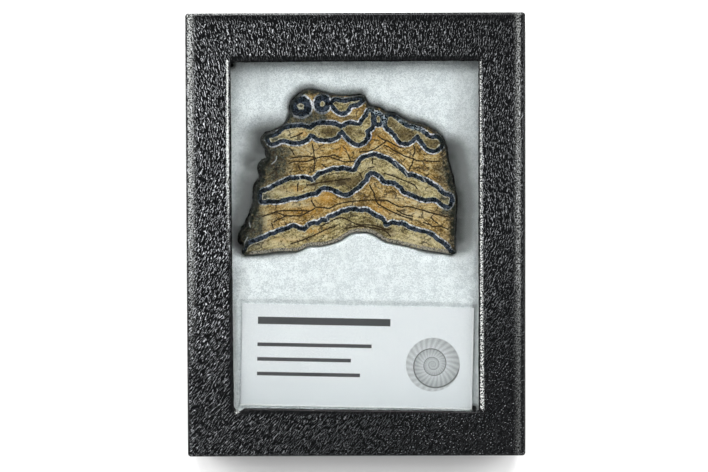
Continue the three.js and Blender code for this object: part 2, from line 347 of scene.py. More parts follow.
def level_loop(node, height):
    """The edge loop that a CAD node has at one height, in mm: the edges that join two of its
    points at that height on a triangle that also has a point at another height, in order."""
    mesh = node.data
    points = np.empty(len(mesh.vertices) * 3)
    mesh.vertices.foreach_get("co", points)
    points = np.round(points.reshape(-1, 3) * 1000, 4)
    mesh.calc_loop_triangles()
    corners = np.empty(len(mesh.loop_triangles) * 3, int)
    mesh.loop_triangles.foreach_get("vertices", corners)
    points, same = np.unique(points, axis=0, return_inverse=True)
    triangles = same.ravel()[corners].reshape(-1, 3)
    level = np.abs(points[:, 2] - height) < 0.005
    triangles = triangles[level[triangles].sum(axis=1) == 2]
    start = triangles[np.arange(len(triangles)), np.argmin(level[triangles], axis=1)]
    following = {}
    for triangle, other in zip(triangles, start):
        a, b = (int(k) for k in triangle if k != other)
        following.setdefault(a, []).append(b)
        following.setdefault(b, []).append(a)
    order = [min(following)]
    while len(order) < len(following):
        order.append(next(k for k in following[order[-1]] if k not in order[-2:]))
    loop = points[order, :2]
    turn = np.sum(loop[:, 0] * np.roll(loop[:, 1], -1) - loop[:, 1] * np.roll(loop[:, 0], -1))
    return loop if turn > 0 else loop[::-1]


def make_piece(name, points, faces, material):
    """A mesh object at the origin from points in mm and lists of point numbers, one per face."""
    mesh = bpy.data.meshes.new(name)
    mesh.from_pydata((np.asarray(points) / 1000).tolist(), [], faces)
    mesh.materials.append(material)
    mesh.polygons.foreach_set("use_smooth", np.ones(len(mesh.polygons), bool))
    piece = bpy.data.objects.new(name, mesh)
    scene.collection.objects.link(piece)
    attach(piece, "root")
    return piece


def carry(piece, values):
    """Keeps numbers for each of the piece's points, which its material reads by their names."""
    for name, numbers in values.items():
        attribute = piece.data.attributes.new(name, "FLOAT", "POINT")
        attribute.data.foreach_set("value", np.asarray(numbers, dtype=np.float32).ravel())


def grid_faces(rows, columns, first=0):
    """The four-sided faces of a grid of points that is stored row by row."""
    corner = (np.arange(rows - 1)[:, None] * columns + np.arange(columns - 1)).ravel() + first
    return np.stack([corner, corner + 1, corner + columns + 1, corner + columns], axis=1).tolist()


def grid_rim(rows, columns):
    """The numbers of the points round such a grid: along its first row, up its last column, back
    along its last row and down its first column."""
    return np.concatenate([
        np.arange(columns), (np.arange(1, rows) + 1) * columns - 1,
        np.arange(rows * columns - 2, (rows - 1) * columns - 1, -1),
        np.arange(rows - 2, 0, -1) * columns])


SLICE_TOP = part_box("molar_slice")[1].z * 1000
SLICE_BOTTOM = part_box("molar_slice")[0].z * 1000
GLASS_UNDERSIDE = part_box("window_glass")[0].z * 1000
PAD_TOP = GLASS_UNDERSIDE - 0.27
UNDER_LABEL = GLASS_UNDERSIDE - 0.85
UNDER_SLICE = SLICE_BOTTOM - 0.35
DIP_DEPTH = 4.2
plain_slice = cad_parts["molar_slice"]
face_loop = level_loop(plain_slice, SLICE_TOP)
belly_loop = level_loop(plain_slice, SLICE_BOTTOM + 0.5 * (SLICE_TOP - SLICE_BOTTOM))
belly_closed = np.vstack([belly_loop, belly_loop[:1]])

BATTING_ROWS, BATTING_COLUMNS = 214, 160
pad_low, pad_high = (np.array(corner) * 1000 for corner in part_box("batting_pad"))
LABEL_CENTRE = (0.2, -29.9)
LABEL_SIZE = (56.8, 25.0)
LABEL_TURN = math.radians(-1.3)

y, x = np.meshgrid(
    np.linspace(pad_low[1], pad_high[1], BATTING_ROWS),
    np.linspace(pad_low[0], pad_high[0], BATTING_COLUMNS), indexing="ij")
away = distance_to(x, y, belly_closed)
away = np.where(inside(x, y, belly_loop), -away, away)
left_end = rise(-x, 10, 19) * rise(y, -8, -1) * rise(y, 31, 24)
right_end = rise(x, 12, 19) * rise(y, -7, -1) * rise(y, 26, 19)
crown = rise(y, 19, 27)
outside = np.maximum(away, 0)
# Beside the slice the pad is pressed down, by a bell curve of the distance to the slice's belly.
dip = np.maximum.reduce([
    DIP_DEPTH * left_end * np.exp(-(outside / 5.2) ** 2),
    DIP_DEPTH * right_end * np.exp(-(outside / 4.0) ** 2),
    1.8 * crown * np.exp(-(outside / 1.0) ** 2),
    0.5 * np.exp(-(outside / 0.6) ** 2)])
relief = (0.08 * lattice_noise(x, y, 6.5, 11) + 0.05 * lattice_noise(x, y, 2.4, 12)
          + 0.04 * lattice_noise(x, y, 1.0, 13) + 0.03 * lattice_noise(x, y, 0.5, 14))
height = PAD_TOP - dip + relief * (1 + dip)
from_label_x, from_label_y = x - LABEL_CENTRE[0], y - LABEL_CENTRE[1]
lean, straight = math.sin(LABEL_TURN), math.cos(LABEL_TURN)
beyond_label = np.maximum(
    np.abs(from_label_x * straight + from_label_y * lean) - LABEL_SIZE[0] / 2,
    np.abs(from_label_y * straight - from_label_x * lean) - LABEL_SIZE[1] / 2)
height = height + (UNDER_LABEL - height) * rise(beyond_label, 1.3, 0.25)
height = height + (UNDER_SLICE - height) * rise(away, 0.15, -0.75)
to_side = np.minimum.reduce([x - pad_low[0], pad_high[0] - x, y - pad_low[1], pad_high[1] - y])
height -= 1.6 * (1 - rise(to_side, 0, 2.2)) ** 2
# Painted shade: the pad is also painted grey where the frame or the label tucks it in, at the
# right, at the upper left and beside both ends of the label, and nearly black in a hollow at two
# of the corners.
tucked_shade = 0.34 * rise(x, 19, 26) * rise(y, -18, -6) + 0.32 * rise(y, 30, 38) * rise(x, -10, -25)
tucked_shade += 0.4 * rise(np.abs(x + 0.3), 28.2, 29.1) * rise(y, -13, -18)
tucked_shade += 2.2 * np.exp(-((x - 28.9) ** 2 + (y + 42.8) ** 2) / 0.6)
tucked_shade += 2.0 * np.exp(-((x + 30.2) ** 2 + (y - 41.5) ** 2) / 0.5)
# The painted shade: more the further the pad sinks below the glass, and more where it is tucked in.
sunk = np.clip((GLASS_UNDERSIDE - 0.4 - height) / DIP_DEPTH + tucked_shade, 0, 2)

batting_points = np.stack([x, y, height], axis=-1).reshape(-1, 3)
rim = grid_rim(BATTING_ROWS, BATTING_COLUMNS)
foot = batting_points[rim].copy()
foot[:, 2] = pad_low[2]
foot_first = len(batting_points)
around = np.arange(len(rim))
side_faces = np.stack([
    rim, foot_first + around, foot_first + np.roll(around, -1), np.roll(rim, -1)], axis=1)
batting_faces = grid_faces(BATTING_ROWS, BATTING_COLUMNS) + side_faces.tolist()
batting_faces.append((foot_first + around[::-1]).tolist())

batting_cloth, shader, wire = new_material("white_batting")
place = box_place(wire)
depth = wire.kept("sunk")
drift = place.vector("MULTIPLY", (1, 1, 0.4))
mottle = (drift.noise(0.45, 3.0) * 0.25 + drift.noise(1.6, 2.0, 0.8, 1.2) * 0.4
          + drift.noise(2.9, 1.0) * 0.35)
strand = (1 - (drift.noise(1.3, 1.5, 0.5, 2.5) - 0.5).size() * 14).most(0)
lit = mottle.rise(0.42, 0.57).blend((0.64, 0.70, 0.72, 1), (0.93, 0.985, 1.0, 1))
lit = (strand * 0.5).blend(lit, (0.93, 0.98, 0.99, 1))
# Painted shade: the pad is painted grey where it sinks and is tucked in, and nearly black in the two
# corner hollows.
lit = depth.rise(0.02, 0.85).blend(lit, (0.28, 0.295, 0.295, 1))
join(shader, "Base Color", depth.rise(1.0, 1.7).blend(lit, (0.03, 0.03, 0.03, 1)))
settle(shader, {"Roughness": 0.95, "Specular IOR Level": 0.1})
fluff = strand * 0.5 + drift.noise(2.6, 3.0)
emboss(shader, fluff, 0.5, 0.0002)

batting = make_piece("batting", np.vstack([batting_points, foot]), batting_faces, batting_cloth)
carry(batting, {"sunk": np.concatenate([sunk.ravel(), sunk.ravel()[rim]])})
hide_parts("batting_pad")


# The tooth slice.
# A slab sawn across a mammoth's grinding tooth and polished: folded plates of dark enamel with
# frosted rims, dentine inside each plate and layered cement between them. It lies on the batting.

# The middle line of each enamel band, in mm in the box's plan. Each closes on itself, the last
# one below the slice's foot.
ENAMEL = [
    [(-15.4, 31.4), (-14.9, 32.8), (-13.4, 33.4), (-12, 32.9), (-11.3, 31.5), (-11.8, 30.1),
    (-13.2, 29.5), (-14.7, 30)],
    [(-9.7, 32), (-9.2, 33.2), (-8, 33.7), (-6.9, 33.3), (-6.5, 32), (-7, 30.8), (-8.2, 30.4),
    (-9.3, 30.9)],
    [(-5.9, 32.2), (-5, 33), (-3, 32.8), (-1, 33), (0.5, 33.3), (1.7, 33.5), (2.2, 33.2), (1.3, 32.4),
    (0.6, 31.8), (-0.4, 31.6), (-1.2, 31.3), (-1.6, 30.5), (-2.2, 29.9), (-3, 29.6), (-4, 29.8),
    (-5, 30.5), (-5.6, 31.4)],
    [(-21.5, 24.2), (-20, 24.4), (-19, 25), (-18.3, 25.6), (-17.5, 26.1), (-16.5, 26.5), (-15, 26.7),
    (-13.5, 26.8), (-12.3, 26.6), (-11.3, 26.2), (-10.8, 26.5), (-10, 27), (-9, 27.3), (-8, 27.5),
    (-7, 27.4), (-6, 27.4), (-5, 27.2), (-4, 26.8), (-3.6, 26.5), (-3, 26.8), (-2.2, 27.2), (-1, 27.4),
    (0, 27.2), (0.8, 27.1), (1.2, 27.5), (1.6, 28.1), (2.2, 28.8), (2.7, 29.4), (3, 30.3), (3.8, 30.6),
    (4.3, 29.8), (4.2, 28.4), (4.5, 27.3), (4.4, 26.8), (4, 26.1), (3.5, 25.6), (2.9, 25.3),
    (3.1, 24.8), (3.2, 24), (2.6, 23.2), (2, 22.5), (1.2, 22.1), (0.5, 22), (-0.3, 22.2), (-1, 22.7),
    (-1.7, 23.3), (-2.4, 23.9), (-3, 24.6), (-3.3, 25.2), (-3.6, 25), (-4.2, 24.1), (-5, 23.5),
    (-6, 23.2), (-7.3, 23.1), (-8.5, 23.2), (-9.5, 23.4), (-10.2, 24), (-10.8, 24.3), (-11.3, 23.8),
    (-12, 23.1), (-13, 22.7), (-14, 22.5), (-15, 22.5), (-16, 22.6), (-17, 22.9), (-17.8, 23),
    (-18.5, 22.8), (-19.5, 22.4), (-20.3, 22.2), (-21, 22.4), (-21.5, 23.2)],
    [(5.4, 29.7), (6.3, 29.2), (6.6, 28.2), (6.3, 27.2), (5.5, 26.9), (4.8, 27.3), (4.6, 28.2),
    (4.8, 29.2)],
    [(7.6, 29), (8.5, 29.3), (9.5, 29), (10.5, 28.3), (11.5, 27.3), (12.3, 26.9), (13.3, 26.5),
    (14.3, 26.2), (15, 25.9), (16, 25.6), (17, 24.9), (17.7, 24.2), (18.6, 23.9), (19.7, 24),
    (20.5, 23.6), (21, 22.9), (21.2, 22.1), (20.9, 21.4), (20.2, 20.8), (19.4, 20.4), (18.5, 20.4),
    (17.7, 20.7), (17.1, 21.2), (16.6, 21.8), (16.1, 22.5), (15.6, 23.1), (15.3, 23.6), (15.1, 24),
    (14.6, 23.5), (14, 23), (13.4, 22.5), (12.6, 22.2), (11.8, 22.2), (11, 22.4), (10.4, 23),
    (9.9, 23.7), (9.4, 24.4), (8.9, 25), (8.3, 25.5), (7.7, 25.9), (7.3, 26.5), (7.2, 27.3),
    (7.4, 28.2)],
    [(-23.4, 9.6), (-23.2, 10.5), (-22.4, 11), (-21.3, 11.4), (-20, 12.1), (-18.8, 12.7), (-17.5, 13.3),
    (-16.3, 13.8), (-15, 13.9), (-13.6, 14.1), (-12.4, 14.1), (-11.4, 13.8), (-10.6, 13.5),
    (-10.2, 13.9), (-9.6, 14.4), (-9, 15), (-8.3, 15.2), (-7.3, 15.6), (-6.3, 15.9), (-5.4, 16.2),
    (-4.3, 16.1), (-3.2, 16.3), (-2.2, 16.1), (-1.2, 15.9), (-0.5, 15.8), (-0.1, 16.4), (0.3, 17.2),
    (0.8, 18), (1.4, 18.7), (2.2, 19.2), (3, 19.3), (4, 19.7), (5, 19.6), (6, 19.2), (6.8, 18.9),
    (7.6, 18.7), (8.4, 18.2), (9.3, 17.7), (10, 17), (10.8, 16.4), (11.5, 15.8), (12.2, 15),
    (12.8, 14.6), (13.6, 14.6), (14.6, 14.3), (15.6, 13.9), (16.4, 13.5), (17.2, 13.3), (18, 12.8),
    (18.8, 12.3), (19.6, 11.9), (20.4, 11.2), (21, 10.5), (21.7, 10), (22.5, 9.8), (23.3, 9.4),
    (23.5, 8.6), (23.4, 7.8), (23, 7), (22.3, 6.7), (21.6, 7), (20.9, 7.4), (20.3, 8), (19.6, 8.4),
    (18.8, 8.6), (17.8, 8.5), (16.8, 8.5), (15.8, 8.8), (14.8, 9.2), (13.8, 9.6), (12.8, 10),
    (12, 10.3), (11.5, 10.6), (11.2, 11.2), (10.9, 11.6), (10.3, 12), (9.5, 12.6), (8.6, 12.8),
    (7.6, 12.8), (6.9, 13), (6.4, 13.6), (5.8, 14.2), (5, 14.8), (4.2, 15.1), (3.4, 14.9), (2.9, 14.3),
    (2.7, 13.6), (2.3, 13.1), (1.6, 12.6), (1.2, 12), (0.6, 11.5), (-0.2, 11), (-0.9, 10.5),
    (-1.7, 10), (-2.4, 9.8), (-3.2, 9.9), (-4.2, 10.3), (-5.2, 10.9), (-6.2, 11.3), (-7.2, 11.4),
    (-8.2, 11.4), (-9, 10.9), (-9.5, 10.2), (-10.4, 10.1), (-11.4, 9.9), (-12.4, 9.5), (-13.5, 9.2),
    (-14.6, 9), (-16, 8.9), (-17.4, 8.5), (-18.8, 8.2), (-20, 8.2), (-21.2, 8.3), (-22.2, 8.1),
    (-23, 8.2), (-23.4, 8.9)],
    [(-27.4, -3.8), (-27, -3), (-26.5, -2.2), (-25.5, -1.6), (-24.3, -1.2), (-23.2, -0.7), (-22, -0.2),
    (-21, 0.3), (-20, 0.6), (-19, 1), (-18, 1.3), (-17, 1.6), (-16.2, 2), (-15.3, 2.3), (-14.5, 2.1),
    (-13.7, 1.7), (-13, 1.5), (-12.5, 1.5), (-12, 2), (-11.4, 2.6), (-10.6, 2.9), (-10, 3.1),
    (-9.4, 2.9), (-8.6, 3.5), (-8, 3.7), (-7.4, 3.6), (-7, 3.9), (-6.6, 4.5), (-6.1, 4.6), (-5.3, 4.9),
    (-4.3, 5.3), (-3.4, 5.8), (-2.4, 6), (-1.4, 6.3), (-0.4, 6.3), (0.6, 6.1), (1.4, 6.1), (2.2, 6.2),
    (3, 6), (3.7, 5.5), (4.4, 5), (5.2, 4.6), (6, 4.2), (6.6, 3.8), (7, 3.1), (7.4, 2.5), (8, 2.6),
    (8.7, 3), (9.3, 3), (10.2, 2.7), (11.2, 2.8), (12, 2.5), (13, 1.9), (14, 1.5), (15, 1.2),
    (16, 0.9), (17, 0.7), (18, 0.3), (18.8, -0.1), (19.5, -0.7), (20.2, -1.3), (21, -1.8),
    (21.8, -2.3), (22.3, -2.9), (22.7, -3.6), (24, -9), (-29, -9)]]

# Fine dark cracks in the cement and the dentine, in mm.
CRACKS = [
    [(-16, 18.8), (-13, 19.2), (-11, 19.2), (-9.5, 18.8), (-8, 19.2), (-6.5, 19.2), (-5.5, 19.6),
    (-4.5, 19.2), (-3.5, 18.8)], [(-16.3, 17.5), (-15, 18), (-12, 18), (-10.5, 18.5), (-9.5, 18.8)],
    [(-10.6, 22.3), (-10.3, 20.8), (-10.1, 19), (-10, 17), (-10.4, 15.5)], [(-16.2, 21.3),
    (-15.5, 20.6), (-15, 19.6)], [(-14, 17), (-13.6, 16), (-12.8, 15.6)], [(-6, 19), (-4, 18.3),
    (-2.8, 17.9), (-0.5, 18), (0.5, 18.8), (1.3, 19.6)], [(-1.9, 19.8), (-1.3, 18.3)], [(-8.2, 17.3),
    (-7.2, 16.5)], [(1, 20.3), (3, 20.4), (4.5, 20.9), (5.5, 21.5), (6.5, 22.2), (7.3, 22.7)],
    [(5.5, 24.2), (6.2, 23.6), (7, 23.1), (8, 22.9), (9, 22.3), (10, 21.7), (11, 21.3)], [(7, 21.9),
    (8, 21.5), (9, 20.8), (10, 20.3), (11, 19.8), (12, 19.2), (13, 18.9), (14, 18.6), (15, 18.1),
    (17.5, 18), (20.5, 17.9)], [(14.2, 21.8), (14.5, 20.5), (14, 19.2)], [(14.1, 18.4), (13.9, 17.4),
    (13.2, 16.3), (13, 15.6)], [(17.2, 14.3), (17.8, 14.8)], [(-10.9, 8.5), (-10.4, 7.6), (-10, 6.9),
    (-8, 6.7), (-6.3, 6.5), (-5.5, 7), (-4.5, 7.5), (-2.5, 8), (0.5, 8.3), (3.5, 8.5), (7.5, 8.4),
    (8.5, 7.9), (9.5, 7.4), (10.5, 6.9), (11.5, 6.7), (12.5, 7), (13.5, 6.8), (15.5, 6.2), (17.5, 5.6),
    (20, 4.9), (23, 4.2)], [(-22.8, 4.6), (-20.6, 5.3), (-19, 5.4), (-17.3, 4.8), (-15, 4.7),
    (-13.5, 4.8), (-12.3, 5.3), (-10, 6.5)], [(-20.5, 5.3), (-19, 5.9), (-15, 6), (-11.5, 5.9)],
    [(-20.2, 3.2), (-18, 4.3), (-17, 4.7)], [(-20.6, 2.9), (-20.2, 1.7)], [(3.4, 12.2), (3.8, 11.3),
    (4.4, 10.4), (4.8, 8.5), (5.3, 7.7), (7.2, 6.5), (9.2, 5.5), (11.2, 4.6), (13.8, 3.8)], [(10, 6),
    (12, 4.9), (14, 4.5)], [(16.5, 3), (18.5, 2.3)], [(18.5, 1.9), (20.7, 2), (22.6, 1.3)],
    [(18.3, 4.3), (19, 3.5), (20, 2.8)], [(-14.2, 12.5), (-14.2, 10.8)], [(-12, 12.3), (-10.5, 12.3),
    (-9, 12.8), (-5, 13.3), (-1.5, 13.8)], [(1, 15.2), (1.4, 14.2), (1.8, 13.3)], [(4.1, 18.9),
    (4.1, 17.6)], [(3, 16.3), (4.5, 16.6)], [(7, 15), (9, 14.4), (11.5, 13.4), (13.5, 12.6), (14.5, 12),
    (15, 11.2)], [(-16, -2.2), (-12, -0.8), (-9.5, 0.3), (-6.5, 1.7), (-5, 2.1)], [(-8.5, 2.2),
    (-5, 3.9), (-3.5, 4.2), (-2.5, 4), (-0.5, 2.9), (0.8, 2.5), (4.5, 2.3), (7.3, 1.3), (8.5, 1.5)],
    [(-2.5, 1.6), (0.5, 2.1), (3.5, 1.8), (7, 1), (8.5, -0.4)], [(-16, 23.8), (-14.5, 24.2), (-13, 25)]]

# Pale lines, in mm: a painted highlight along the polished corner of the left wall, and cracks that
# run across the enamel.
GLINTS = [
    [(-22.5, 24), (-22.7, 22.5), (-22.4, 21.3)], [(-23.9, 17), (-23.4, 17.7), (-23, 18)],
    [(-19.3, 19.3), (-19.5, 18.3), (-20.5, 17.4)], [(-24.9, 11), (-25.1, 9.5), (-24.9, 7.1)],
    [(-24.9, 7.1), (-26, 5.2), (-26.4, 4.3), (-26.1, 3), (-25.8, 2)], [(-26.5, -0.5), (-27.3, -2),
    (-27.6, -3.5)], [(12, 15.5), (12.7, 14.3)], [(16.4, 14), (17, 13)], [(9.6, 17.7), (10.3, 16.6)],
    [(-10.6, 14), (-10, 12.9)], [(-13.9, 14.6), (-13.5, 13.6)], [(-7.2, 4.5), (-6.8, 3.4)],
    [(5.9, 14.4), (5.5, 13.6)], [(-12.1, 3), (-11.7, 2)], [(20.3, 11.9), (20.8, 10.9)]]

# Soft oval patches in which the tooth is stained: middle and half width and height, in mm.
STAINS = {
    "grey": [(-21, 17.5, 4.5, 4.5), (-20.5, 16.8, 4, 3.8), (-24.8, 1.5, 2, 4), (-12.6, 28.3, 4.6, 1.2),
        (4, 0.3, 2.6, 0.9), (-24.5, 12.5, 2, 3), (-25, 4, 2.6, 5), (-26.5, -0.5, 2.5, 2.5),
        (-12.5, 28.3, 5, 1.3), (-9, 29.6, 2, 1.8), (22.3, 16, 2, 6), (-11, 34.8, 4, 0.8),
        (-17.8, 20.4, 2.2, 1.1), (21.8, 5.5, 1.6, 1.2), (21.5, 9, 1, 0.8), (-19.4, 23.5, 1.2, 0.6),
        (-13.4, 31.5, 0.9, 0.6), (-16, 28.2, 1.2, 1.6), (24.4, 1, 2, 6), (-22.5, 9.2, 2, 1.2),
        (-16.5, 31, 1, 3), (23.5, 10, 1, 4), (9.5, 30.3, 3, 0.8), (17, 27.2, 4, 0.8)],
    "umber": [(-7, 25.2, 2.4, 1.1), (-0.6, 12.9, 2.6, 1.4), (8, 0.9, 1.9, 0.8), (-6.5, 13.2, 3.5, 1.2),
        (12.7, 24.2, 2.2, 1), (5.4, 28.3, 0.6, 0.9), (8.4, 28, 0.7, 0.9), (-6.6, 32, 0.8, 0.9),
        (5.8, 1.8, 2.2, 0.8), (-10.3, 12.2, 1.6, 0.8), (-1.6, 25.6, 1.8, 1), (-5.2, 25.3, 1.3, 0.9),
        (9, 27.1, 1.6, 1), (19.6, 22, 1.3, 0.9), (3.2, 3.5, 1.8, 0.7), (-1.5, 8.9, 1.2, 0.9),
        (0.9, 9.9, 0.8, 0.7), (2, 7.5, 1.4, 0.5), (19.9, 16.1, 1.5, 1.2), (13, 24, 1.4, 0.9),
        (18.5, 22.3, 1.4, 0.9), (1.2, 24.9, 1.2, 0.7), (-2, 28.6, 2.5, 0.7), (11, 25.3, 2.5, 1),
        (12.5, 24, 1.5, 1), (0, 12.8, 2, 1), (18.3, 22.4, 1.5, 0.8), (5, 24.8, 1.2, 0.8)],
    "amber": [(-3, 21, 2.5, 1.5), (-7.5, 9, 2.5, 1.4), (5.5, 6.5, 3, 1.5), (-12, 6, 4, 1),
        (4.8, 24, 2, 1.5), (-10, 1, 3, 1), (9, 22, 2, 1), (-15, 11.2, 3, 0.8), (-13, 24.8, 1.8, 0.8),
        (-17, -1.2, 4, 0.7)],
    "pale": [(17.2, 11.2, 1.6, 1.3), (-17, 25, 3, 0.7), (-20, -2, 4, 1), (16, -1.5, 5, 1.5),
        (-19, 10.5, 4, 1), (-22, 3.5, 1.5, 2.5), (-13, 20.7, 3, 1.2), (15, 5, 4, 1.2),
        (-14, 7.5, 3.5, 0.8), (-15.5, -0.8, 2.5, 0.6), (3.4, 17, 2, 0.9), (9, 15, 1.5, 0.9),
        (9.5, 8.8, 2.4, 0.7), (14.5, 7.6, 2.5, 0.7), (10.5, 4.7, 2, 0.6), (9, 0.5, 1.5, 0.7)],
    "pit": [(-21.5, 18.5, 0.8, 1.9), (-22.9, 15.4, 0.9, 0.8), (-25.3, 13, 0.5, 1.5),
        (-19.4, 16.2, 0.7, 0.5)],
    "mottle": [(5, 30.2, 1.8, 0.9), (7, 28.2, 0.6, 1), (11, 27.8, 1.2, 0.5), (15.8, 25.9, 2, 0.9)]}

FACE_ROWS, FACE_COLUMNS = 211, 281
FACE_CORNERS = [(-27.6, -4.85), (24.3, -4.85), (21.6, 23.4), (-21.7, 23.2)]
# The two rings are drawn smaller than they were read, and their bands wider than the others.
RING_SHARE = 0.86
BAND_WIDTHS = (1.75, 1.4, 1.0)


def at_height(line, z):
    """The points of a line in plan, at one height or at one height each."""
    return np.column_stack([line, np.full(len(line), z)])


edge = smooth_path(face_loop, 0.05, closed=True)
bends = [int(np.argmin(np.hypot(*(edge - corner).T))) for corner in FACE_CORNERS]
sides = []
for first, last, count in zip(bends, bends[1:] + bends[:1], (FACE_COLUMNS, FACE_ROWS) * 2):
    run = edge[np.arange(first, last + 1 if last > first else last + len(edge) + 1) % len(edge)]
    length = np.concatenate([[0], np.cumsum(np.hypot(*np.diff(run, axis=0).T))])
    even = np.linspace(0, length[-1], count)
    sides.append(np.column_stack([np.interp(even, length, run[:, k]) for k in (0, 1)]))
foot_side, right_side, crown_side, left_side = sides[0], sides[1], sides[2][::-1], sides[3][::-1]
u = np.linspace(0, 1, FACE_COLUMNS)[None, :, None]
v = np.linspace(0, 1, FACE_ROWS)[:, None, None]
# The face is filled in between its four sides: the two blends across and along, less the blend
# of the corners that both of them count.
face = ((1 - v) * foot_side[None] + v * crown_side[None]
        + (1 - u) * left_side[:, None] + u * right_side[:, None]
        - (1 - u) * (1 - v) * foot_side[0] - u * (1 - v) * foot_side[-1]
        - (1 - u) * v * crown_side[0] - u * v * crown_side[-1])
# Then each point moves towards the mean of its neighbours, first plainly and then weighted by how
# long the grid's steps are each way, which keeps the cells from folding over at the notches.
for step in range(180):
    right, left = face[1:-1, 2:], face[1:-1, :-2]
    up, down = face[2:, 1:-1], face[:-2, 1:-1]
    if step < 100:
        face[1:-1, 1:-1] = (right + left + up + down) / 4
    else:
        run, climb = (right - left) / 2, (up - down) / 2
        runs, climbs = ((way ** 2).sum(axis=-1, keepdims=True) for way in (run, climb))
        skew = (run * climb).sum(axis=-1, keepdims=True)
        twist = (face[2:, 2:] - face[2:, :-2] - face[:-2, 2:] + face[:-2, :-2]) / 4
        mean = (climbs * (right + left) + runs * (up + down) - 2 * skew * twist) / (2 * (runs + climbs))
        face[1:-1, 1:-1] += 0.9 * (mean - face[1:-1, 1:-1])

rim = grid_rim(FACE_ROWS, FACE_COLUMNS)
rim_line = face.reshape(-1, 2)[rim]
ahead = np.roll(rim_line, -5, axis=0) - np.roll(rim_line, 5, axis=0)
ahead /= np.hypot(*ahead.T)[:, None]
outward = np.stack([ahead[:, 1], -ahead[:, 0]], axis=1)
rim_x, rim_y = rim_line.T
above_foot = rise(rim_y, -4.4, -1.6)
# The walls belly out, most at the left, and seeded noise makes them lumpy.
lean = 0.05 + np.maximum.reduce([
    0.85 * rise(-rim_x, 16, 23) * above_foot, 0.55 * rise(rim_x, 18, 22) * above_foot,
    0.3 * rise(rim_y, 21, 29)])
wall_loops = []
for part in (0.03, 0.1, 0.22, 0.36, 0.5, 0.64, 0.78, 0.9, 0.97):
    depth = part * (SLICE_TOP - SLICE_BOTTOM)
    lump = 0.55 * lattice_noise(rim_x + depth * 0.6, rim_y - depth * 0.8, 1.3, 21)
    lump += 0.35 * lattice_noise(rim_x - depth, rim_y + depth * 0.7, 0.45, 22)
    out = 0.12 + lean * np.sin(np.pi * part) ** 0.6 * (1 + 0.45 * lump) + 0.06 * lump
    wall_loops.append(at_height(rim_line + outward * out[:, None], SLICE_TOP - depth))

face_points = at_height(face.reshape(-1, 2), SLICE_TOP)
back_points = at_height(face[::2, ::2].reshape(-1, 2), SLICE_BOTTOM)
slice_points = np.vstack([face_points, *wall_loops, back_points])
back_rows, back_columns = (FACE_ROWS + 1) // 2, (FACE_COLUMNS + 1) // 2
back_first = len(face_points) + len(wall_loops) * len(rim)
back_rim = back_first + grid_rim(back_rows, back_columns)
slice_faces = grid_faces(FACE_ROWS, FACE_COLUMNS)
upper = rim
for k in range(len(wall_loops)):
    lower = len(face_points) + k * len(rim) + np.arange(len(rim))
    slice_faces += np.stack([upper, lower, np.roll(lower, -1), np.roll(upper, -1)], axis=1).tolist()
    upper = lower
# The back has half as many points each way: one on its rim meets two on the wall's.
even, odd, beyond = upper[::2], upper[1::2], np.roll(upper[::2], -1)
back_next = np.roll(back_rim, -1)
for triangle in ((even, back_rim, odd), (odd, back_rim, back_next), (odd, back_next, beyond)):
    slice_faces += np.stack(triangle, axis=1).tolist()
slice_faces += [quad[::-1] for quad in grid_faces(back_rows, back_columns, back_first)]

x, y = slice_points[:, 0], slice_points[:, 1]
# The distance to the nearest enamel band, below zero inside its loop.
side = np.full(len(slice_points), 1e9)
for k, band in enumerate(ENAMEL):
    loop = smooth_path(band, 0.3, closed=True)
    loop = loop.mean(axis=0) + (loop - loop.mean(axis=0)) * (RING_SHARE if k < 2 else 1)
    gap = distance_to(x, y, np.vstack([loop, loop[:1]])) / BAND_WIDTHS[min(k, 2)]
    side = np.minimum(side, np.where(inside(x, y, loop), -gap, gap))
to_crack, to_glint = np.full((2, len(slice_points)), 1e9)
for crack in CRACKS:
    to_crack = np.minimum(to_crack, distance_to(x, y, smooth_path(crack, 0.7)))
for line in GLINTS:
    to_glint = np.minimum(to_glint, distance_to(x, y, smooth_path(line, 0.4)))
to_edge = distance_to(x, y, np.vstack([face_loop, face_loop[:1]]))
to_edge[len(face_points):] = 0
fringe = rise(distance_to(x, y, foot_side[12:-12:4]), 0.95, 0.6)
on_wall = np.zeros(len(slice_points))
on_wall[len(face_points):back_first] = 1
stained = {
    name: np.clip(sum(np.exp(-(((x - a) / w) ** 2 + ((y - b) / h) ** 2)) for a, b, w, h in ovals), 0, 1)
    for name, ovals in STAINS.items()}

fossil, shader, wire = new_material("fossil_tooth")
place = box_place(wire)
kept = wire.kept


def stone(red, green, blue):
    """The tooth's paint for a screen colour, with 0.95 of the light let through by the glass."""
    return tint(red, green, blue, 0.95)


broad, fine = place.noise(0.9, 2.0), place.noise(3.2, 2.0)
speck = place.noise(5.5, 2.0, 0.7)
band = kept("side") + (broad - 0.5) * 0.3 + (place.noise(1.5, 1.0) - 0.5) * 0.4 + (fine - 0.5) * 0.15
scallop = place.noise(1.5, 1.0) * 0.7 + fine * 0.3
enamel = band.size().rise(0.6, 0.5)
outer_rim = band.rise(0.44, 0.54) * (band - (scallop - 0.5) * 0.9).rise(0.86, 0.70)
inner_rim = band.rise(-0.5, -0.56) * (band + (scallop - 0.5) * 0.5).rise(-0.74, -0.64)

# The growth layers follow the enamel: the noise changes slowly across and fast away from a band.
layers = wire.node("ShaderNodeCombineXYZ", {}, {
    "X": place.part("X") * 0.33, "Y": kept("side") * 2.1, "Z": 0.0})
streaks = layers.noise(0.8, 4.0, 0.7, 0.5) * 0.55 + place.noise(0.4, 3.0) * 0.25 + speck * 0.2
streaks = (streaks - 0.5) * 1.9 + 0.5


def layered(places, colours):
    """The streaks painted in these colours, each at its own place from 0 to 1."""
    stops = [(place, stone(*colour)[:3]) for place, colour in zip(places, colours)]
    return streaks.node("ShaderNodeValToRGB", {"stops": stops}, {"Fac": streaks})


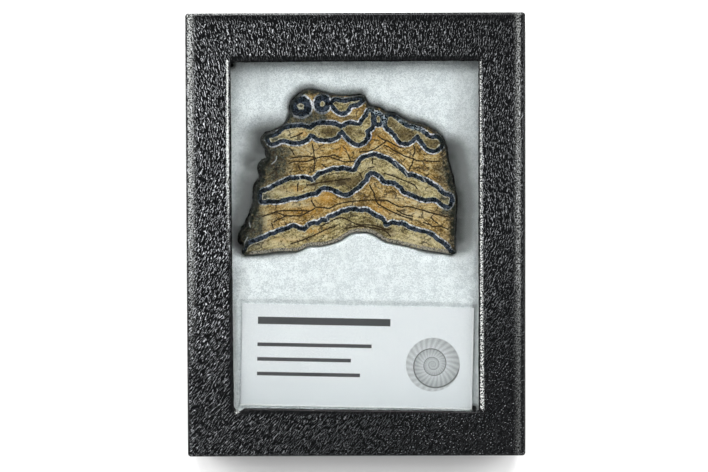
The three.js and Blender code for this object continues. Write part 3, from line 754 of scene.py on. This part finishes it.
cement = layered(
    (0.34, 0.45, 0.54, 0.66), ((84, 66, 34), (148, 118, 62), (178, 150, 94), (212, 194, 148)))
dentine = layered(
    (0.34, 0.46, 0.55, 0.66), ((84, 78, 50), (142, 130, 88), (176, 162, 116), (206, 196, 156)))
body = band.rise(-0.1, 0.1).blend(dentine, cement)
grit = place.noise(2.3, 3.0, 0.8)
body = (grit.rise(0.49, 0.38) * 0.8).blend(body, stone(70, 54, 28))
body = (grit.rise(0.54, 0.66) * 0.65).blend(body, stone(222, 204, 158))
cloud = place.noise(1.3, 3.0).rise(0.3, 0.6)
body = (kept("amber") * cloud * 0.75).blend(body, stone(186, 136, 52))
body = (kept("pale") * cloud * 0.85).blend(body, stone(208, 194, 156))
umber = grit.rise(0.3, 0.7).blend(stone(44, 34, 18), stone(112, 96, 62))
body = (kept("umber") * 0.85).blend(body, umber)
grey = grit.rise(0.3, 0.7).blend(stone(24, 26, 22), stone(92, 94, 84))
body = (kept("grey") * (0.75 + cloud * 0.25)).blend(body, grey)
# Fine branching lines: where one noise passes its middle value, and the borders of shaken cells.
vein = place.vector("MULTIPLY", (0.7, 1.3, 1)).noise(0.9, 2.5, 0.55, 0.8)
vein = (1 - (vein - 0.5).size() * 45).most(0)
vein = vein * place.noise(0.5, 2.0).rise(0.45, 0.62)
shaken = place.node("ShaderNodeTexNoise", {}, {"Vector": place, "Scale": 1.1, "Detail": 1.0}, "Color")
shaken = shaken.vector("MULTIPLY", (0.5, 0.5, 0))
shaken = place.vector("MULTIPLY", (0.28, 0.42, 1)).vector("ADD", shaken)
cell = place.node("ShaderNodeTexVoronoi", {"feature": "DISTANCE_TO_EDGE"}, {
    "Vector": shaken, "Scale": 1.0}, "Distance")
crazing = cell.rise(0.05, 0.02) * place.noise(0.45, 1.0).rise(0.44, 0.54)
crack_width = (kept("crack") + (grit - 0.5) * 0.3).rise(0.24, 0.12)
crack_line = crack_width.most(vein * 0.7).most(crazing * 0.8)
body = crack_line.blend(body, stone(42, 31, 16))
body = (kept("pit") * 0.95).blend(body, stone(9, 10, 9))

navy = (broad * 0.35 + grit * 0.65).rise(0.42, 0.64)
navy = navy.blend(stone(13, 17, 20), stone(66, 76, 92))
navy = (kept("mottle") * grit.rise(0.49, 0.58)).blend(navy, stone(172, 190, 202))
frosting = broad * 0.4 + grit * 0.6
frost = frosting.rise(0.42, 0.58).blend(stone(92, 102, 114), stone(228, 232, 236))
frost = (kept("grey") * 0.75).blend(frost, stone(62, 68, 72))
cream = frosting.rise(0.36, 0.6).blend(stone(104, 102, 84), stone(190, 188, 168))
face_colour = inner_rim.blend(outer_rim.blend(enamel.blend(body, navy), frost), cream)
rind_line = (kept("edge") + (grit - 0.5) * 0.5).rise(0.75, 0.35) * (1 - kept("fringe"))
face_colour = (rind_line * broad.rise(0.3, 0.5) * 0.9).blend(face_colour, stone(26, 30, 28))
scale_edge = fine.rise(0.35, 0.62).blend(stone(62, 62, 56), stone(158, 152, 140))
face_colour = (kept("fringe") * broad.rise(0.25, 0.42)).blend(face_colour, scale_edge)
# A painted highlight along the polished corner of the left wall, and pale cracks across the enamel.
glint = (kept("glint") + (grit - 0.5) * 0.3).rise(0.19, 0.08)
face_colour = (glint * 0.42).blend(face_colour, stone(196, 202, 206))
rind = broad.rise(0.35, 0.6).blend(stone(7, 8, 7), stone(38, 38, 34))
rind = (grit.rise(0.57, 0.66) * 0.6).blend(rind, stone(124, 130, 128))
join(shader, "Base Color", kept("wall").blend(face_colour, rind))
join(shader, "Roughness", kept("wall").most(crack_line).least(1) * 0.55 + 0.24)
settle(shader, {"Specular IOR Level": 0.2})
relief = fine * 0.3 - crack_line - enamel * 0.1 + kept("wall") * place.noise(1.1, 3.0) * 4
emboss(shader, relief, 0.35, 0.0001)

tooth = make_piece("tooth_slice", slice_points, slice_faces, fossil)
tooth.data.set_sharp_from_angle(angle=math.radians(40))
# The dark line round the face is broadest at the left and the right, and stops at one band's tip.
widened = 1 + 0.9 * rise(x, 19, 22) * rise(y, -4.5, -2) + 0.6 * rise(-x, 20, 23)
to_edge = to_edge / widened + (x > 20) * np.exp(-((y - 9) / 1.8) ** 2)
carry(tooth, {
    "side": side, "crack": np.minimum(to_crack, 3), "glint": np.minimum(to_glint, 3),
    "edge": to_edge, "fringe": fringe, "wall": on_wall, **stained})
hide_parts("molar_slice")


# The label.
# A plain paper card held against the glass by the batting. It carries a bold rule, three lighter
# rules and a small drawing of a coiled shell, all in grey.

paper, shader, wire = new_material("label_paper")
turned = wire.node("ShaderNodeMapping", {"vector_type": "TEXTURE"}, {
    "Vector": box_place(wire), "Location": (*LABEL_CENTRE, 0), "Rotation": (0, 0, LABEL_TURN)})
across, up = turned.part("X"), turned.part("Y")


def bar(left, right, low, high):
    """1 inside a level bar of the label, with edges a tenth of a millimetre soft."""
    wide, tall = (
        (place - (start + end) / 2).size().rise((end - start) / 2 + 0.05, (end - start) / 2 - 0.05)
        for place, start, end in ((across, left, right), (up, low, high)))
    return wide * tall


INK_LEFT, THIN_RULE = -24.5, 0.45
SHELL_CENTRE, SHELL_RADIUS, SHELL_RIBS = (18.6, -1.6), 6.6, 26
ink = bar(INK_LEFT, 8.0, 7.6, 9.4)
for right, middle in ((3.5, 2.6), (-1.5, -1.0), (0.8, -4.6)):
    ink = ink.most(bar(INK_LEFT, right, middle - THIN_RULE, middle + THIN_RULE))
# The shell's spiral: its radius grows by the same factor with every turn.
shell_x, shell_y = across - SHELL_CENTRE[0], up - SHELL_CENTRE[1]
radius = (shell_x * shell_x + shell_y * shell_y) ** 0.5
turn = wire.maths("ARCTAN2", shell_y, shell_x) / (2 * math.pi)
outgrown = radius / SHELL_RADIUS
whorl = wire.maths("FRACT", wire.maths("LOGARITHM", outgrown, 2.1) - turn)
seam = whorl.rise(0.14, 0.02).most(whorl.rise(0.94, 1.0))
ribs = wire.maths("SINE", turn * (2 * math.pi * SHELL_RIBS) + whorl * 7)
shell = (0.28 + whorl * 0.3 + ribs * 0.1).most(seam * 0.95)
shell = radius.rise(SHELL_RADIUS + 0.1, SHELL_RADIUS - 0.1) * shell
grain = turned.noise(3.0, 3.0)
sheet = grain.rise(0.35, 0.65).blend(tint(222, 227, 230), tint(230, 234, 236))
sheet = up.rise(2, -14).blend(sheet, tint(214, 220, 223))
shade = ink.blend(sheet, tint(70, 72, 74))
shade = shell.most(0).blend(shade, tint(84, 86, 84))
# A painted highlight along the label's right and lower edges, where they catch the light.
edge_highlight = across.rise(27.95, 28.15).most(up.rise(-12.05, -12.25))
shade = edge_highlight.blend(shade, tint(244, 247, 248))
join(shader, "Base Color", shade)
settle(shader, {"Roughness": 0.7})
emboss(shader, grain, 0.2, 0.00005)
dress(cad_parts["label_card"], paper)


# The window.
# A flat pane of clear glass, cut to fit inside the lid. It lies under the lid's border, and the
# batting presses the slice and the label up towards it.

clear, shader, wire = new_material("clear_glass")
settle(shader, {
    "Base Color": (0.985, 0.995, 0.99, 1), "Roughness": 0.0, "IOR": 1.5, "Transmission Weight": 1.0})
dress(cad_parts["window_glass"], clear)


# The lid.
# A card lid with a window cut in its top. The black grained paper is drawn over the rounded
# edges, down the sides and in over the lip of the window, where it was cut by hand.

lid_low, lid_high = (np.array(corner) * 1000 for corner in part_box("lid_frame"))
# The lid's upright corners, its upper edge and the window's lip are rounded, in mm.
LID_RADIUS, LID_EDGE, LIP_EDGE = 0.8, 0.75, 0.5
WINDOW_HALF, WINDOW_RADIUS = (30.15, 42.55), 0.5
BOARD, INNER_BORDER = 1.5, 8
CORNER_STEPS, SIDE_STEPS = 14, 170


def rounded_frame(half_width, half_height, radius):
    """A rectangle with rounded corners, anticlockwise: four quarter circles, each followed by a
    straight side of evenly spaced points. Frames of any size correspond point by point."""
    radius = max(radius, 0.05)
    arc = np.linspace(0, np.pi / 2, CORNER_STEPS, False)
    line = np.linspace(0, 1, SIDE_STEPS, False)[:, None]
    reach = (half_width - radius, half_height - radius)
    corners = np.array([(1, 1), (-1, 1), (-1, -1), (1, -1)]) * reach
    points = []
    for quarter in range(4):
        angle = quarter * np.pi / 2 + arc
        points.append(corners[quarter] + radius * np.column_stack([np.cos(angle), np.sin(angle)]))
        turned = (quarter + 1) * np.pi / 2
        end = radius * np.array([np.cos(turned), np.sin(turned)])
        points.append(corners[quarter] + end + line * (corners[(quarter + 1) % 4] - corners[quarter]))
    return np.vstack(points)


def lid_loop(inset):
    """The lid's outline, moved inwards."""
    half = (lid_high - lid_low)[:2] / 2 - inset
    return rounded_frame(*half, LID_RADIUS - inset)


def window_loop(outset):
    """The window's outline, moved outwards. Its lower side slopes and its sides are a little
    crooked, because the paper was turned in by hand. The lower left corner is nicked outwards."""
    loop = rounded_frame(WINDOW_HALF[0] + outset, WINDOW_HALF[1] + outset, WINDOW_RADIUS + outset)
    x, y = loop.T
    sway = 0.07 * lattice_noise(x + y, x - y, 9.0, 31) + 0.05 * lattice_noise(x + y, x - y, 1.6, 32)
    moved_x = np.where(x < 0, -0.004 * y, -0.3) * rise(np.abs(x), 20, 30) + sway * np.sign(x)
    moved_y = np.where(y < 0, -0.016 * x, 0.002 * x - 0.4) * rise(np.abs(y), 30, 42) + sway * np.sign(y)
    moved_y -= 0.9 * np.maximum(0, 1 - np.abs(x + 28.8) / 1.4) * (y < -42)
    return loop + np.column_stack([moved_x, moved_y])


top = lid_high[2]
loops, drops = [], []


def lay(line, z, drop):
    """Adds a loop of the lid's surface, and how far down the paper lies there by its own length."""
    loops.append(at_height(line, z))
    drops.append(drop)


for z in np.linspace(lid_low[2], top - LID_EDGE, 14)[:-1]:
    lay(lid_loop(0), z, top - z - 0.43 * LID_EDGE)
for bend in np.linspace(0, np.pi / 2, 9):
    line = lid_loop(LID_EDGE * (1 - np.cos(bend)))
    lay(line, top - LID_EDGE * (1 - np.sin(bend)), (np.pi / 2 - bend) * LID_EDGE)
shoulder, brow = lid_loop(LID_EDGE), window_loop(LIP_EDGE)
for part in np.linspace(0, 1, 36)[1:]:
    line = shoulder + part * (brow - shoulder)
    swell = 0.035 * lattice_noise(line[:, 0], line[:, 1], 4.0, 33) * np.sin(np.pi * part)
    lay(line, top - 0.04 * np.sin(np.pi * part) + swell, 0)
for bend in np.linspace(0, np.pi / 2, 7)[1:]:
    lay(window_loop(LIP_EDGE * (1 - np.sin(bend))), top - LIP_EDGE * (1 - np.cos(bend)), bend * LIP_EDGE)
lay(window_loop(0.0), top - 0.8, 0.8)
lay(window_loop(0.0), top - BOARD + 0.05, BOARD - 0.05)
lay(window_loop(0.05), top - BOARD, BOARD)
lip, inner_wall = window_loop(0.05), lid_loop(BOARD)
for part in (0.3, 0.65, 1.0):
    lay(lip + part * (inner_wall - lip), top - BOARD, BOARD + part * INNER_BORDER)
for z in (12.0, 6.0, lid_low[2]):
    lay(inner_wall, z, BOARD + INNER_BORDER + top - z)
loops = np.array(loops)
stations, around = loops.shape[:2]
lid_points = loops.reshape(-1, 3)
corner = np.arange(stations * around).reshape(stations, around)
lid_faces = np.stack([
    corner, np.roll(corner, -1, 1), np.roll(np.roll(corner, -1, 1), -1, 0), np.roll(corner, -1, 0)],
    axis=-1).reshape(-1, 4).tolist()

# The grain runs straight up and down on the upper half of the lid, fans out a little towards the
# top right, and leans over to the right further down. The third number counts down the sides.
level = np.linspace(60, -60, 241)
slant = np.concatenate([[0], np.cumsum(0.84 * rise(level, 30, -45)[1:] * 0.5)])
x, y = lid_points[:, 0], lid_points[:, 1]
fan = 1 + 0.006 * (y - 45) * rise(y, 0, 30)
grain_across = x / fan + np.interp(y, level[::-1], slant[::-1])
grain = np.column_stack([grain_across, y, np.repeat(drops, around)])


def lid_grain(wire):
    """The lid's own grain coordinates in mm, the strength of the painted highlight on its ridges and
    of its painted glint specks, and its pale edges, which are mostly a painted highlight."""
    return wire.kept("grain", "Vector"), wire.kept("strength"), wire.kept("specks"), wire.kept("bare")


lid = make_piece("lid", lid_points, lid_faces, grained_paper("black_grained_paper_drawn", lid_grain))
lid.data.set_sharp_from_angle(angle=math.radians(50))
inset_x = (lid_high - lid_low)[0] / 2 - np.abs(x)
inset_y = (lid_high - lid_low)[1] / 2 - np.abs(y)
beyond_x, beyond_y = np.abs(x) - WINDOW_HALF[0], np.abs(y) - WINDOW_HALF[1]
# The ridges carry a painted highlight, which also sets how high they stand. It is strongest at the
# left and fades to the right, the top, the foot, down the sides and at the window's corners, and it
# is painted brighter beside both side edges and the window's right lip.
lower_right = rise(y - 0.9 * x, -22, -72)
strength = (1.0 - 0.016 * x) * (1 - 0.43 * rise(y, 38, 46)) * (1 - 0.76 * rise(y, 0, -48))
strength *= 1 - 0.8 * lower_right
strength *= 1 - 0.55 * rise(np.repeat(drops, around), 0.9, 1.6) * (lid_points[:, 2] < top - 0.3)
strength *= 1 + 1.4 * rise(inset_x, 0.5, 0.9) * rise(inset_x, 2.0, 1.3) * (x < 0)
strength *= 1 + 1.1 * rise(inset_x, 1.0, 1.4) * rise(inset_x, 2.6, 2.0) * (x > 0)
strength *= 1 - 0.85 * rise(inset_y, 0.4, 0.6) * rise(inset_y, 2.7, 1.6) * (y > 0)
folded_in = 1 - 0.95 * rise(beyond_y, 1.4, 0.7) * rise(beyond_x, 0.6, 0.2)
strength *= folded_in
strength *= 1 - 0.9 * rise(beyond_x, 1.2, 0.7) * rise(beyond_y, 0.6, 0.2) * rise(y, 5, -10) * (x < 0)
strength *= 1 + 1.4 * rise(beyond_x, -0.1, 0.15) * rise(beyond_x, 1.3, 0.7) * (beyond_y < 0.1) * (x > 0)
strength *= 1 - 0.8 * rise(inset_x, 0.6, 0.4)
# A pale painted highlight lies along the far edge, the window's left and right lips and the left
# and right edges, and the paper is rubbed bare at the nicked corner of the window.
left_lip = rise(beyond_x, 0.6, 0.75) * rise(beyond_x, 1.2, 1.0) * (beyond_y < 0) * (x < 0)
right_lip = rise(beyond_x, 0.0, 0.12) * rise(beyond_x + 0.006 * y, 0.8, 0.45) * (beyond_y < 0) * (x > 0)
left_edge = rise(inset_x, 0.4, 0.7) * rise(inset_x, 2.6, 0.9) * (x < 0)
right_edge = rise(inset_x, 1.1, 1.4) * rise(inset_x, 3.0, 1.5) * (x > 0)
bare = np.maximum.reduce([
    0.3 * rise(inset_y, 0.6, 0.35) * (y > 0) * rise(x, 0, -16),
    1.8 * left_lip * rise(y, -8, 25), 0.85 * right_lip, 0.65 * left_edge * rise(y, -35, 15),
    0.3 * right_edge * (0.35 + 0.65 * rise(y, -40, 10)),
    1.2 * np.maximum(0, 1 - np.hypot(x + 29.1, y + 43.05) / 0.65)])
bare = bare * (lid_points[:, 2] > top - BOARD)
# The painted glint specks lie towards the lower right.
carry(lid, {"strength": strength, "specks": 0.46 * lower_right * folded_in, "bare": bare})
attribute = lid.data.attributes.new("grain", "FLOAT_VECTOR", "POINT")
attribute.data.foreach_set("vector", grain.astype(np.float32).ravel())
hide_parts("lid_frame")
